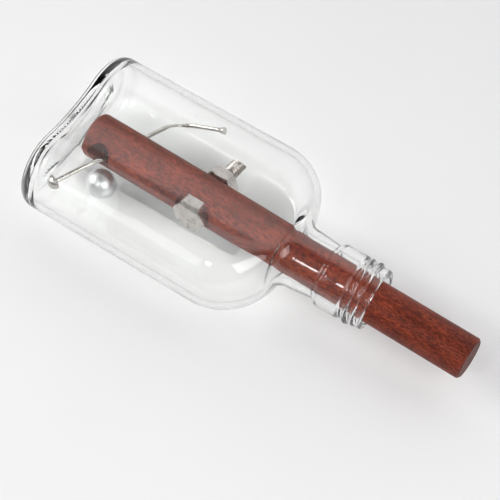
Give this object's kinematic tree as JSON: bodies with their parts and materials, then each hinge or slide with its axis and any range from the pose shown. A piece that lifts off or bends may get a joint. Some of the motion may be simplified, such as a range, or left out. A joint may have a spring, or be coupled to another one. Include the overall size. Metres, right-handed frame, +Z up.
{
  "type": "impossible bottle",
  "caption": "Clear kidney flask lying on its back with a wooden rod through its neck, crossed inside by a hex bolt with nut and a bent nail, and a loose steel ball.",
  "frame": {"origin": "middle of the footprint of the whole object, on the table", "axes": "+X along the flask from its base to its mouth, +Z up through the flask's hollow front, +Y across it"},
  "size_m": [0.1848, 0.0752, 0.0378],
  "materials": {
    "clear_glass": "clear, fire polished",
    "red_wood": "red-brown stain, satin",
    "plated_steel": "zinc plated, dull",
    "bright_steel": "bright drawn wire",
    "polished_steel": "polished ball-bearing steel"
  },
  "bodies": {
    "bottle": {"glass_bottle": "clear_glass"},
    "rod": {"wooden_rod": "red_wood"},
    "bolt": {"hex_bolt": "plated_steel"},
    "nut": {"hex_nut": "plated_steel"},
    "nail": {"bent_nail": "bright_steel"},
    "ball": {"steel_ball": "polished_steel"}
  },
  "joints": [
    {"name": "rod_slide", "type": "slide", "parent": "bottle", "child": "rod", "axis": [0.9998, -0.0206, 0], "range_m": [-0.0015, 0.027]},
    {"name": "bolt_turn", "type": "hinge", "parent": "rod", "child": "bolt", "pos_m": [-0.02866, 0.00087, 0.01907], "axis": [-0.0199, -0.9639, 0.2656], "range_deg": [0, 3060]},
    {"name": "nut_travel", "type": "slide", "parent": "rod", "child": "nut", "axis": [0.0199, 0.9639, -0.2656], "range_m": [0, 0.0108]},
    {"name": "nail_swing", "type": "hinge", "parent": "rod", "child": "nail", "pos_m": [-0.06925, 0.00171, 0.01907], "axis": [0.341, 0.9058, -0.2514], "range_deg": [-6, 14]},
    {"name": "ball_travel", "type": "slide", "parent": "bottle", "child": "ball", "axis": [0.9992, -0.04, 0], "range_m": [-0.011, 0.062]}
  ],
  "couplings": [
    {"joint": "nut_travel", "follows": "bolt_turn", "m_per_rad": 0.00020213}
  ]
}
